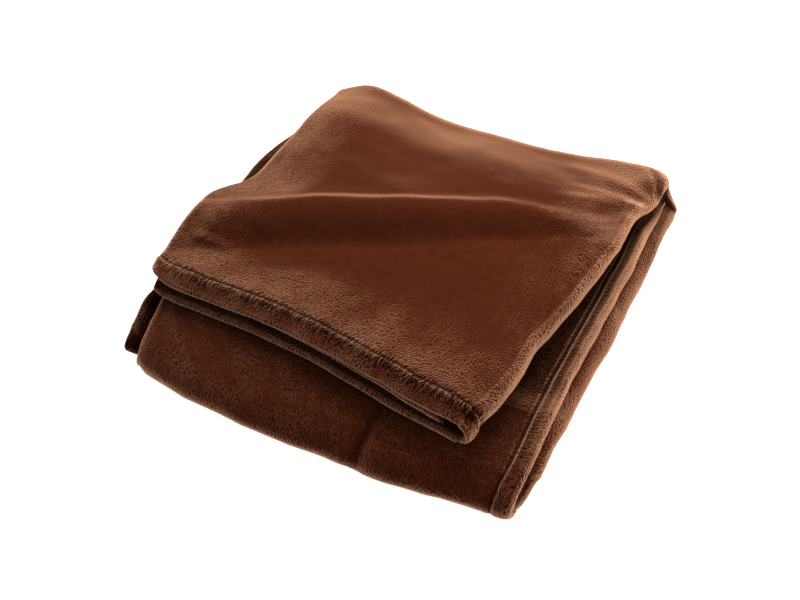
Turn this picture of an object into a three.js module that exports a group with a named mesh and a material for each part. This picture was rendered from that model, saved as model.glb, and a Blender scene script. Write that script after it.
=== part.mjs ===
// Folded flannel throw: one hemmed cloth, folded lengthwise into four panels and then back and
// forth into four sections. Millimetres, +Z up, +X to the right, -Y to the front, on Z = 0.
//
// The strip is the cloth after its lengthwise folds. A path in the Y-Z plane carries the strip
// back and forth, and a section in X and height gives the panels at each place along the path.
// A place is counted in whole numbers: even to odd is a flat run, odd to even is a turn.

import * as THREE from 'three';

// Driving dimensions of the cloth
const CLOTH = 2.6; // thickness with its pile
const HEM = 17; // width of the hem, from its stitches to the edge
const HEM_SWELL = 1.1; // what the hem adds on each side of the cloth
const SEAM = { width: 3, dip: 0.35 }; // the stitches' furrow, and how far it draws each side in
const RIM = { width: 2.5, thinner: 0.5 }; // the hem's edge, and how much thinner than the cloth it is

// Runs of the path: where the outer panel's middle starts and ends, and how high it lies
const RUNS = [
  { name: 'tucked end', from: -82, to: 176, height: 25.6 },
  { name: 'bottom', from: 176, to: -198, height: CLOTH / 2 },
  { name: 'middle', from: -198, to: 188, height: 39.8 },
  { name: 'flap', from: 188, to: -133, height: 44.8 },
];

// The middle run slopes down to the front fold, and the flap follows it
const FRONT_SLOPE = { low: -196, high: -118, middleDrop: 8.8, flapDrop: 4.2 };

// Steps along each run and turn
const RUN_STEPS = [3, 5, 7, 15];
const TURN_STEPS = [5, 7, 7];

// The flap's hem, as distances back from its edge
const FLAP_HEM_STEPS = [0, 2, 8, HEM - SEAM.width, HEM, HEM + 4];

const FLAP_LENGTH = Math.abs(RUNS[3].to - RUNS[3].from);

// Outline of the strip along the path, seen from above
// left: fold of panels one and two; lowLeft: fold of panels three and four; right: the wide turn of
// panels two and three; inner and outer: the free edges of panels one and four
// top, mid and low: spacing of the panels, from the flap's top panel down
const OUTLINE = [
  { at: 0.0, left: -190, lowLeft: -187, right: 184, inner: 6, outer: 176, top: 3.5, mid: 3.5, low: 3.5 },
  { at: 1.5, left: -191, lowLeft: -190, right: 187, inner: 12, outer: 176, top: 3.5, mid: 3.5, low: 3.5 },
  { at: 2.5, left: -196, lowLeft: -192, right: 193, inner: 20, outer: 172, top: 3.5, mid: 3.5, low: 3.5 },
  { at: 3.2, left: -199, lowLeft: -185, right: 186, inner: 28, outer: 178, top: 3.5, mid: 3.5, low: 3.5 },
  { at: 3.8, left: -200, lowLeft: -184, right: 187, inner: 30, outer: 181, top: 3.5, mid: 3.5, low: 3.5 },
  { at: 4.2, left: -204, lowLeft: -189, right: 190, inner: 30, outer: 184, top: 3.5, mid: 3.5, low: 3.5 },
  { at: 4.5, left: -204, lowLeft: -198, right: 196, inner: 34, outer: 187, top: 3.5, mid: 3.5, low: 3.5 },
  { at: 4.8, left: -202, lowLeft: -202, right: 201, inner: 35, outer: 190, top: 3.5, mid: 3.5, low: 3.5 },
  { at: 5.0, left: -189, lowLeft: -187, right: 199, inner: 38, outer: 189, top: 3.6, mid: 3.6, low: 3.6 },
  { at: 5.5, left: -182, lowLeft: -180, right: 191, inner: 40, outer: 182, top: 4.4, mid: 4.4, low: 4.2 },
  { at: 6.0, left: -177, lowLeft: -175, right: 188, inner: 42, outer: 174, top: 5.6, mid: 5.2, low: 4.8 },
  { at: 6.1, left: -182, lowLeft: -178, right: 183, inner: 44, outer: 168, top: 5.8, mid: 5.4, low: 5.0 },
  { at: 6.3, left: -188, lowLeft: -181, right: 173, inner: 52, outer: 161, top: 6.0, mid: 5.8, low: 5.2 },
  { at: 6.6, left: -191, lowLeft: -184, right: 160, inner: 70, outer: 150, top: 6.4, mid: 6.4, low: 5.4 },
  { at: 6.8, left: -197, lowLeft: -187, right: 151, inner: 88, outer: 141, top: 7.2, mid: 7.2, low: 5.4 },
  { at: 6.9, left: -195, lowLeft: -187, right: 148, inner: 99, outer: 137, top: 8.2, mid: 8.0, low: 5.6 },
  { at: 7.0, left: -190, lowLeft: -187, right: 137, inner: 111, outer: 125, top: 9.0, mid: 8.8, low: 6.2 },
];

// The front fold bows out, and the back edge is pushed out and raised at both corners
const FRONT_BOW = [
  { x: -210, reach: -28 },
  { x: -156, reach: -15 },
  { x: -108, reach: -5 },
  { x: -47, reach: 0 },
  { x: 15, reach: 1 },
  { x: 76, reach: -3 },
  { x: 137, reach: -8 },
  { x: 205, reach: -14 },
];
const BACK_BOW = [
  { x: -205, reach: -30, lift: 0 },
  { x: -180, reach: -5, lift: 3 },
  { x: -150, reach: 17, lift: 10 },
  { x: -108, reach: 10, lift: 5 },
  { x: -47, reach: 2, lift: 0 },
  { x: 15, reach: 1, lift: 0 },
  { x: 76, reach: 4, lift: 0 },
  { x: 137, reach: 11, lift: 3 },
  { x: 205, reach: 3, lift: 4 },
];

// The places where each change of shape begins and is full, and where it leaves and has ended
const FRONT_BENDS = { begins: 2.1, full: 3, leaves: 4, ends: 4.9 };
const BACK_BENDS = { begins: 4.1, full: 5, leaves: 6, ends: 6.5 };
const BACK_LIFTS = { begins: 4.9, full: 5.5 };
const FLAP_BEGINS = { begins: 5.6, full: 6.25 };
const FLAP_TURNS = { begins: 6, full: 7 };
const HEMS_STEP_BACK = { begins: 6.3, full: 7 };
const SIDE_HEM_SHOWS = { begins: 3.1, full: 3.4, leaves: 4.75, ends: 4.95 };

// The flap lies turned: right of the bend its cross lines run forward
const FLAP_TURN = { bend: -70, softness: 45, slope: 0.19 };

// The large wrinkle across the flap, crest by crest
// front and back: how far the wrinkle falls on each side
const WRINKLE = [
  { x: -205, y: -58, height: 17, front: 52, back: 70 },
  { x: -150, y: -34, height: 20, front: 42, back: 95 },
  { x: -100, y: -8, height: 20, front: 38, back: 105 },
  { x: -26, y: 26, height: 18, front: 36, back: 95 },
  { x: 20, y: 50, height: 15, front: 34, back: 80 },
  { x: 65, y: 76, height: 9, front: 32, back: 60 },
  { x: 115, y: 96, height: 1, front: 30, back: 40 },
  { x: 150, y: 104, height: 0, front: 30, back: 40 },
];

// How much of the wrinkle the lowest panel of the flap takes
const WRINKLE_LOWEST = 0.6;

// Rows of the grid follow the wrinkle's crest about the middle of the flap
const CREST_ROW = { at: 6.5, reach: 0.46, y: 26, follow: 0.8 };

// How far each panel's hem stops short of the flap's front edge
const SETBACK = { one: 6, two: 0, three: -3, four: 26 };

// Softer shapes of the flap
const FLAP_DEPTH = 20;
const CROWN = { height: 3.2, y: 20, reachX: 165, reachY: 135 };
const PINCH = { x: 186, y: 160, reach: 34, press: 0.34, base: 42 };
const BACK_SHOULDER = { from: 128, to: 196, drop: 7 };

// Columns that all the panels share, as parts of the width between the folds
const COLUMNS = [0.08, 0.22, 0.4, 0.58, 0.76, 0.94];
const PANEL_ONE_COLUMNS = 3;
const SIDE_HEM_STEPS = [HEM + 4, HEM, HEM - SEAM.width, 7, 2, 0];
const FOLD_STEPS = 4;
const WIDE_FOLD_STEPS = 5;

const clamp01 = (value) => Math.min(1, Math.max(0, value));
const mix = (a, b, t) => a + (b - a) * t;
const reversed = (list) => [...list].reverse();

function smooth(low, high, value) {
  const t = clamp01((value - low) / (high - low));
  return t * t * (3 - 2 * t);
}

// Falls from 1 at the centre to 0 at the reach, with level ends
function bump(distance, reach) {
  const t = clamp01(Math.abs(distance) / reach);
  return 0.5 + 0.5 * Math.cos(Math.PI * t);
}

// How far a change of shape has come in at a place, from 0 to 1
function share(change, place) {
  const left = change.leaves === undefined ? 0 : smooth(change.leaves, change.ends, place);
  return smooth(change.begins, change.full, place) - left;
}

// Reads one column of a table at x, on straight lines between the rows
function readStraight(table, x, column) {
  const next = Math.min(table.length - 1, Math.max(1, table.findIndex((row) => row.x > x)));
  const [a, b] = [table[next - 1], table[next]];
  return mix(a[column], b[column], clamp01((x - a.x) / (b.x - a.x)));
}

// Reads one column of a table at a key, on a smooth curve through the rows
function read(table, key, value, column) {
  const last = table.length - 1;
  if (value <= table[0][key]) return table[0][column];
  if (value >= table[last][key]) return table[last][column];
  let i = 0;
  while (value > table[i + 1][key]) i += 1;
  const slope = (a, b) => (table[b][column] - table[a][column]) / (table[b][key] - table[a][key]);
  const span = table[i + 1][key] - table[i][key];
  const t = (value - table[i][key]) / span;
  const before = slope(Math.max(0, i - 1), i + 1) * span;
  const after = slope(i, Math.min(last, i + 2)) * span;
  const t2 = t * t;
  const t3 = t2 * t;
  return table[i][column] * (2 * t3 - 3 * t2 + 1) + before * (t3 - 2 * t2 + t)
    + table[i + 1][column] * (3 * t2 - 2 * t3) + after * (t3 - t2);
}

// Height of the outer panel's middle along a run
function runHeight(index, y) {
  const run = RUNS[index];
  const slope = 1 - smooth(FRONT_SLOPE.low, FRONT_SLOPE.high, y);
  if (run.name === 'middle') return run.height - FRONT_SLOPE.middleDrop * slope;
  if (run.name === 'flap') return run.height - FRONT_SLOPE.flapDrop * slope;
  return run.height;
}

// The path of the outer panel: its point and its normal at a place
function path(place) {
  const index = Math.min(Math.floor(place), 2 * RUNS.length - 2);
  const part = place - index;
  const run = index >> 1;
  if (index % 2 === 0) {
    const { from, to } = RUNS[run];
    const way = Math.sign(to - from);
    const y = mix(from, to, part);
    const rise = runHeight(run, y + way / 2) - runHeight(run, y - way / 2);
    const length = Math.hypot(1, rise);
    return { y, z: runHeight(run, y), ny: rise / length, nz: -way / length };
  }
  const y = RUNS[run].to;
  const start = runHeight(run, y);
  const end = runHeight(run + 1, y);
  const middle = (start + end) / 2;
  const radius = Math.abs(end - start) / 2;
  const side = Math.sign(RUNS[run].to - RUNS[run].from);
  const angle = Math.PI * part;
  const up = Math.sign(start - end);
  const y1 = side * Math.sin(angle);
  const z1 = up * Math.cos(angle);
  const facing = up * side;
  return { y: y + radius * y1, z: middle + radius * z1, ny: -facing * y1, nz: -facing * z1 };
}

// A flat stretch of the section: its points, their normals and their hem's setback
function panel(stops, height, facing, setback) {
  return stops.map((x) => ({ x, h: height, nx: 0, nh: facing, setback }));
}

// A half turn between two panels, without its end points
function fold(x, height, radius, side, rising, steps, setbacks) {
  const points = [];
  for (let i = 1; i < steps; i += 1) {
    const angle = Math.PI * (i / steps);
    const nx = Math.sin(angle) * side;
    const nh = -Math.cos(angle) * rising;
    const facing = -side * rising;
    points.push({
      x: x + radius * nx,
      h: height + radius * nh,
      nx: nx * facing,
      nh: nh * facing,
      setback: mix(...setbacks, i / steps),
    });
  }
  return points;
}

// The strip's section at a place, from panel one's free edge to panel four's
function section(place) {
  const column = (name) => read(OUTLINE, 'at', place, name);
  const [top, mid, low] = ['top', 'mid', 'low'].map(column);
  const half = CLOTH / 2;
  const heights = { four: 0, three: low, one: low + mid, two: low + mid + top };
  const wide = (mid + top) / 2;
  const leftX = column('left') + half + top / 2;
  const lowLeftX = column('lowLeft') + half + low / 2;
  const rightX = column('right') - half - wide;
  const outer = column('outer');
  const gridLeft = Math.max(leftX, lowLeftX);
  const gridRight = Math.min(rightX, outer - SIDE_HEM_STEPS[0]);
  const grid = COLUMNS.map((part) => mix(gridLeft, gridRight, part));
  const shortGrid = reversed(grid.slice(0, PANEL_ONE_COLUMNS));
  const inner = column('inner');
  const { one, two, three, four } = SETBACK;
  return [
    ...panel([inner, (inner + shortGrid[0]) / 2, ...shortGrid, leftX], heights.one, -1, one),
    ...fold(leftX, heights.one + top / 2, top / 2, -1, 1, FOLD_STEPS, [one, two]),
    ...panel([leftX, ...grid, rightX], heights.two, 1, two),
    ...fold(rightX, heights.three + wide, wide, 1, -1, WIDE_FOLD_STEPS, [two, three]),
    ...panel([rightX, ...reversed(grid), lowLeftX], heights.three, -1, three),
    ...fold(lowLeftX, low / 2, low / 2, -1, -1, FOLD_STEPS, [three, four]),
    ...panel([lowLeftX, ...grid], heights.four, 1, four),
    ...SIDE_HEM_STEPS.map((edge) => ({ x: outer - edge, h: 0, nx: 0, nh: 1, setback: four, edge })),
  ];
}

// How much a hem adds to each side of the cloth at a distance from its edge
function hemSwell(edge) {
  const seam = SEAM.dip * bump(edge - HEM, SEAM.width);
  const roll = HEM_SWELL * smooth(HEM, HEM - SEAM.width, edge);
  const rim = (HEM_SWELL + RIM.thinner) * smooth(RIM.width, 0, edge);
  return roll - seam - rim;
}

// The side hem swells outwards only, and is pressed flat where the throw rests on it
function sideHem(edge, place) {
  return 2 * hemSwell(edge) * share(SIDE_HEM_SHOWS, place);
}

function wrinkle(x, y) {
  const at = (column) => read(WRINKLE, 'x', x, column);
  const away = y - at('y');
  return Math.max(0, at('height')) * bump(away, away < 0 ? at('front') : at('back'));
}

// Bends the straight strip into the throw's own uneven shape
function shape(place, x, y, z) {
  const front = share(FRONT_BENDS, place) * readStraight(FRONT_BOW, x, 'reach');
  const back = share(BACK_BENDS, place) * readStraight(BACK_BOW, x, 'reach');
  const lift = share(BACK_BENDS, place) * share(BACK_LIFTS, place) * readStraight(BACK_BOW, x, 'lift');
  let py = y - front + back;
  let pz = z + lift;

  const onFlap = share(FLAP_BEGINS, place);
  const past = x - FLAP_TURN.bend;
  const turned = (past + Math.hypot(past, FLAP_TURN.softness)) / 2;
  py -= onFlap * share(FLAP_TURNS, place) * FLAP_TURN.slope * turned;

  const crown = CROWN.height * bump(x, CROWN.reachX) * bump(py - CROWN.y, CROWN.reachY);
  const shoulder = BACK_SHOULDER.drop * smooth(BACK_SHOULDER.from, BACK_SHOULDER.to, py);
  const aboveBase = Math.max(0, pz - PINCH.base);
  const press = PINCH.press * bump(Math.hypot(x - PINCH.x, py - PINCH.y), PINCH.reach);
  const depth = clamp01(aboveBase / FLAP_DEPTH);
  const raised = crown + wrinkle(x, py) * mix(WRINKLE_LOWEST, 1, depth);
  pz += onFlap * (raised - aboveBase * press - shoulder * depth);
  return [x, py, pz];
}

// All places along the path, closer together at the flap's hem
function places() {
  const list = [0];
  RUNS.forEach((run, index) => {
    const start = 2 * index;
    const length = Math.abs(run.to - run.from);
    const last = run.name === 'flap' ? 1 - FLAP_HEM_STEPS.at(-1) / length : 1;
    for (let i = 1; i <= RUN_STEPS[index]; i += 1) list.push(start + (last * i) / RUN_STEPS[index]);
    if (run.name === 'flap') {
      reversed(FLAP_HEM_STEPS).slice(1).forEach((edge) => list.push(start + 1 - edge / length));
      return;
    }
    const turnSteps = TURN_STEPS[index];
    for (let i = 1; i <= turnSteps; i += 1) list.push(start + 1 + i / turnSteps);
  });
  return list;
}

// Where a row of the grid meets a column: its place, slid along the path
function slide(row, x, setback) {
  const shift = CREST_ROW.follow * (read(WRINKLE, 'x', x, 'y') - CREST_ROW.y);
  const toCrest = bump(row - CREST_ROW.at, CREST_ROW.reach) * shift;
  const toHem = share(HEMS_STEP_BACK, row) * setback;
  return row - (toCrest + toHem) / FLAP_LENGTH;
}

// The closed cloth: two faces of one grid, joined along all four edges
function clothGeometry() {
  const rows = places();
  const positions = [];
  const faces = [1, -1].map((face) => rows.map((row) => {
    const endSwell = row > 6 ? hemSwell((7 - row) * FLAP_LENGTH) : 0;
    return section(row).map((rough, column) => {
      const place = slide(row, rough.x, rough.setback);
      const point = section(place)[column];
      const { y, z, ny, nz } = path(place);
      const outward = point.edge !== undefined && face < 0 ? sideHem(point.edge, place) : 0;
      const offset = face * (CLOTH / 2 + endSwell + outward);
      const x = point.x + point.nx * offset;
      const h = point.h + point.nh * offset;
      positions.push(...shape(place, x, y + ny * h, z + nz * h));
      return positions.length / 3 - 1;
    });
  }));

  const index = [];
  const quad = (a, b, c, d, flip = false) => {
    const corners = flip ? [b, d, c, b, a, d] : [a, c, b, a, d, c];
    index.push(...corners);
  };
  const [outer, inner] = faces;
  const lastRow = rows.length - 1;
  const lastColumn = outer[0].length - 1;
  const profile = section(0);
  for (let i = 0; i < lastRow; i += 1) {
    for (let j = 0; j < lastColumn; j += 1) {
      const turned = profile[j].nh + profile[j + 1].nh < 0;
      quad(outer[i][j], outer[i][j + 1], outer[i + 1][j + 1], outer[i + 1][j], turned);
      quad(inner[i][j], inner[i + 1][j], inner[i + 1][j + 1], inner[i][j + 1], turned);
    }
    quad(outer[i][0], outer[i + 1][0], inner[i + 1][0], inner[i][0]);
    quad(outer[i][lastColumn], inner[i][lastColumn], inner[i + 1][lastColumn], outer[i + 1][lastColumn]);
  }
  for (let j = 0; j < lastColumn; j += 1) {
    quad(outer[0][j], inner[0][j], inner[0][j + 1], outer[0][j + 1]);
    quad(outer[lastRow][j], outer[lastRow][j + 1], inner[lastRow][j + 1], inner[lastRow][j]);
  }

  const geometry = new THREE.BufferGeometry();
  geometry.setAttribute('position', new THREE.Float32BufferAttribute(positions, 3));
  geometry.setIndex(index);
  geometry.computeVertexNormals();
  geometry.computeBoundingBox();
  const centre = geometry.boundingBox.getCenter(new THREE.Vector3());
  geometry.translate(-centre.x, -centre.y, 0);
  return geometry;
}

const flannel = new THREE.MeshStandardMaterial({ color: 0x5f3524, roughness: 0.95, metalness: 0 });

const throwMesh = new THREE.Mesh(clothGeometry(), flannel);
throwMesh.name = 'throw';

const group = new THREE.Group();
group.add(throwMesh);

export default group;
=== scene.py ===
"""The looks of a folded flannel throw: its cloth, the stitches of its hems, the studio and the camera.

Metres, +Z up, +X to the right and -Y to the front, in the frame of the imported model.
The throw's own sizes are in millimetres, as a maker would give them.
"""
import logging
import math
from dataclasses import dataclass, replace
from enum import Enum
from typing import Any

import bpy
import numpy as np
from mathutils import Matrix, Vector, noise


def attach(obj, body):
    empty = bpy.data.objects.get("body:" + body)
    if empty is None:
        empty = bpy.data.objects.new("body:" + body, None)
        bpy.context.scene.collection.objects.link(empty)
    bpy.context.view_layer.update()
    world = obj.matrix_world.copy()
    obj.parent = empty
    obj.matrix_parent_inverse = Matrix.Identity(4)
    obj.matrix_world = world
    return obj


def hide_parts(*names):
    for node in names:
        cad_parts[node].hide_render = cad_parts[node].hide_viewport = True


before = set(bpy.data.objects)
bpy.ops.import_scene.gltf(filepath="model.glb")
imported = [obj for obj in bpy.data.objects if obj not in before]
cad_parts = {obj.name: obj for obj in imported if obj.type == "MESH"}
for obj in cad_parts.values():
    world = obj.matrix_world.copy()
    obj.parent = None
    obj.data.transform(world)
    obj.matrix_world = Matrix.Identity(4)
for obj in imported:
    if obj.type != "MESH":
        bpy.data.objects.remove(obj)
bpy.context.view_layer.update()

Array = np.ndarray
Number = Array | float
Colour = tuple[float, float, float]

MM = 0.001
ROOT = "root"
NODE = "throw"
LOG = logging.getLogger("throw")

# Moves the throw's own frame, in millimetres, so that its box stands on the middle of the model's
CENTRING = np.array((1.8, -3.4, 0.0))

# Stands for the distance from an edge or a line that is nowhere near
FAR_AWAY = 1000.0

# Points at which crowded() adds up how dense its parts are
CROWDED_STEPS = 2001


def smooth(low: float, high: float, value: Number) -> Number:
    """Rises from 0 at low to 1 at high, with level ends.

    Args:
        low: The value that gives 0.
        high: The value that gives 1; it may be the smaller one.
        value: Where to read the curve.

    Returns:
        The share, from 0 to 1.
    """
    t = np.clip((value - low) / (high - low), 0.0, 1.0)
    return t * t * (3.0 - 2.0 * t)


def bump(distance: Number, reach: Number) -> Number:
    """Falls from 1 at the centre to 0 at the reach, with level ends.

    Args:
        distance: How far from the centre.
        reach: Where the bump has ended.

    Returns:
        The bump's height, from 0 to 1.
    """
    return 0.5 + 0.5 * np.cos(np.pi * np.clip(np.abs(distance) / reach, 0.0, 1.0))


def mix(start: Number, end: Number, share: Number) -> Number:
    """Returns the value that lies the given share of the way from start to end."""
    return start + (end - start) * share


def crowded(count: int, spots: tuple[tuple[float, float, float], ...] = ()) -> Array:
    """Parts from 0 to 1, closer together near some spots.

    Args:
        count: How many parts.
        spots: For each spot its place from 0 to 1, its reach, and how much denser it is.

    Returns:
        The parts in rising order, 0 and 1 included.
    """
    fine = np.linspace(0.0, 1.0, CROWDED_STEPS)
    density = np.ones_like(fine)
    for spot, reach, gain in spots:
        density += gain * bump(fine - spot, reach)
    run = np.concatenate([[0.0], np.cumsum((density[1:] + density[:-1]) / 2)])
    return np.interp(np.linspace(0.0, run[-1], count), run, fine)


def unit(vectors: Array) -> Array:
    """Returns the vectors at length 1."""
    return vectors / np.linalg.norm(vectors, axis=-1, keepdims=True)


@dataclass(frozen=True)
class Table:
    """Rows of named columns, read between the rows by the first column."""

    names: tuple[str, ...]
    rows: tuple[tuple[float, ...], ...]

    def column(self, name: str) -> Array:
        """Returns one column, a number for each row."""
        return np.array([row[self.names.index(name)] for row in self.rows], float)

    def straight(self, name: str, at: Array) -> Array:
        """Returns a column read on straight lines between the rows."""
        return np.interp(at, self.column(self.names[0]), self.column(name))

    def curved(self, name: str, at: Array) -> Array:
        """Reads a column on a smooth curve through its rows.

        Args:
            name: The column.
            at: Values of the first column.

        Returns:
            The column's value at each of them, level past the ends.
        """
        keys = self.column(self.names[0])
        values = self.column(name)
        last = len(keys) - 1
        at = np.clip(at, keys[0], keys[last])
        i = np.clip(np.searchsorted(keys, at, side="right") - 1, 0, last - 1)
        before, after = np.maximum(i - 1, 0), np.minimum(i + 2, last)
        span = keys[i + 1] - keys[i]
        t = (at - keys[i]) / span
        slope_in = (values[i + 1] - values[before]) / (keys[i + 1] - keys[before]) * span
        slope_out = (values[after] - values[i]) / (keys[after] - keys[i]) * span
        t2, t3 = t * t, t * t * t
        return (values[i] * (2 * t3 - 3 * t2 + 1) + slope_in * (t3 - 2 * t2 + t)
                + values[i + 1] * (3 * t2 - 2 * t3) + slope_out * (t3 - t2))


@dataclass(frozen=True)
class Change:
    """A change of shape along the path: where it begins, is full, leaves and has ended."""

    begins: float
    full: float
    leaves: float | None = None
    ends: float | None = None

    def share(self, place: Array) -> Array:
        """Works out how far the change has come in.

        Args:
            place: Places along the path.

        Returns:
            The share at each of them, from 0 to 1.
        """
        came = smooth(self.begins, self.full, place)
        if self.leaves is None:
            return came
        return came - smooth(self.leaves, self.ends, place)


@dataclass(frozen=True)
class Run:
    """A flat run of the path: its ends, its height, its rows and its slope down to the front fold."""

    start: float
    end: float
    height: float
    rows: int
    turn_rows: int = 0
    front_drop: float = 0.0


@dataclass(frozen=True)
class FoldPath:
    """The way that carries the strip back and forth, in the Y-Z plane.

    A place counts along it in whole numbers: even to odd is a flat run, odd to even is a turn.
    """

    runs: tuple[Run, ...] = (
        Run(-82, 176, 25.6, rows=12, turn_rows=8),
        Run(176, -183.5, 1.3, rows=17, turn_rows=24),
        Run(-183.5, 188, 39.8, rows=66, turn_rows=16, front_drop=2.5),
        Run(188, -133, 44.8, rows=81, front_drop=4.2),
    )
    front_low: float = -194.0
    front_high: float = -118.0
    before_hem: float = 3.0

    # Where the flap's rows are closer together: the part of it, the reach and the gain
    crowded_rows: tuple[tuple[float, float, float], ...] = ((0.53, 0.11, 1.6),)

    def of_runs(self, name: str) -> Array:
        """Returns one size of all the runs."""
        return np.array([getattr(run, name) for run in self.runs])

    def flap_length(self) -> float:
        """Returns the length of the last run, the flap."""
        return abs(self.runs[-1].end - self.runs[-1].start)

    def flap_starts(self) -> int:
        """Returns the place at which the flap starts; it ends one further on."""
        return 2 * (len(self.runs) - 1)

    def height(self, run: Array, y: Array) -> Array:
        """Returns the height of a run's middle at y, with its slope down to the front fold."""
        slope = 1 - smooth(self.front_low, self.front_high, y)
        return self.of_runs("height")[run] - self.of_runs("front_drop")[run] * slope

    def at(self, place: Array) -> tuple[Array, ...]:
        """Follows the path to a place.

        Args:
            place: The places, of any shape.

        Returns:
            y, z and the two parts of the normal there.
        """
        starts, ends = self.of_runs("start"), self.of_runs("end")
        last = len(self.runs) - 1
        index = np.clip(np.floor(place).astype(int), 0, 2 * last)
        part = place - index
        run = index // 2
        following = np.minimum(run + 1, last)
        way = np.sign(ends - starts)[run]

        y = mix(starts[run], ends[run], part)
        rise = self.height(run, y + way / 2) - self.height(run, y - way / 2)
        length = np.hypot(1.0, rise)
        flat = (y, self.height(run, y), rise / length, -way / length)

        end = ends[run]
        low, high = self.height(run, end), self.height(following, end)
        radius = np.abs(high - low) / 2
        up = np.sign(low - high)
        y1, z1 = way * np.sin(np.pi * part), up * np.cos(np.pi * part)
        facing = up * way
        turn = (end + radius * y1, (low + high) / 2 + radius * z1, -facing * y1, -facing * z1)
        return tuple(np.where(index % 2 == 0, a, b) for a, b in zip(flat, turn))

    def rows(self, hem_steps: Array) -> Array:
        """Returns the places of the cloth's rows.

        Args:
            hem_steps: Distances of the last rows from the flap's front edge, in rising order.

        Returns:
            The places, in rising order.
        """
        places: list[float] = []
        for index, run in enumerate(self.runs):
            first = 2 * index
            if run.turn_rows:
                places.extend(first + np.linspace(0, 1, run.rows + 1)[:-1])
                places.extend(first + 1 + np.linspace(0, 1, run.turn_rows + 1)[:-1])
                continue
            last = 1 - (hem_steps[-1] + self.before_hem) / self.flap_length()
            places.extend(first + last * crowded(run.rows, self.crowded_rows))
            places.extend(first + 1 - hem_steps[::-1] / self.flap_length())
        return np.array(places)


@dataclass(frozen=True)
class Hem:
    """A turned and stitched edge: how the cloth thickens and rounds with the distance from it."""

    cloth: float = 2.6
    width: float = 17.0
    swell: float = 1.8
    seam_width: float = 3.6
    seam_dip: float = 0.45
    full_at: float = 5.0
    full_reach: float = 11.0
    flatter: float = 0.55
    thinnest: float = 0.06

    # Where the cloth has a row: from its edge inwards, and on both sides of the seam
    rim_steps: tuple[float, ...] = (0.0, 0.12, 0.45, 1.0, 1.8, 3.0, 5.0, 8.0, 11.0)
    seam_steps: tuple[float, ...] = (-3.6, -2.4, -1.5, -0.8, 0.0, 0.8, 1.5, 2.6, 4.6, 8.0)

    def added(self, edge: Array) -> Array:
        """Works out what the hem adds to the cloth's thickness.

        Args:
            edge: Each point's distance from the edge.

        Returns:
            The extra thickness there, less in the seam's furrow.
        """
        roll = smooth(self.width, self.width - self.seam_width, edge)
        furrow = bump(edge - self.width, self.seam_width)
        crown = mix(self.flatter, 1.0, bump(edge - self.full_at, self.full_reach))
        return 2 * self.swell * roll * crown - 2 * self.seam_dip * furrow

    def rounding(self, edge: Array, thickness: Array) -> Array:
        """Returns the share of the thickness that the round edge leaves, from about 0 to 1."""
        inward = np.clip(1 - 2 * edge / thickness, 0.0, 1.0)
        return np.maximum(np.sqrt(1 - inward * inward), self.thinnest)

    def steps(self) -> Array:
        """Returns the distances from the edge at which the cloth has a row, in rising order."""
        return np.array(self.rim_steps + tuple(self.width + step for step in self.seam_steps))


class Setback(Enum):
    """How far each panel's hem stops short of the flap's front edge, in millimetres."""

    TONGUE = -1.5
    ONE = 8.0
    TWO = 0.0
    THREE = -6.5
    FOUR = 26.0


@dataclass(frozen=True)
class Section:
    """The strip's section on a grid: across, above the outer panel, and its normal."""

    x: Array
    h: Array
    nx: Array
    nh: Array


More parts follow.
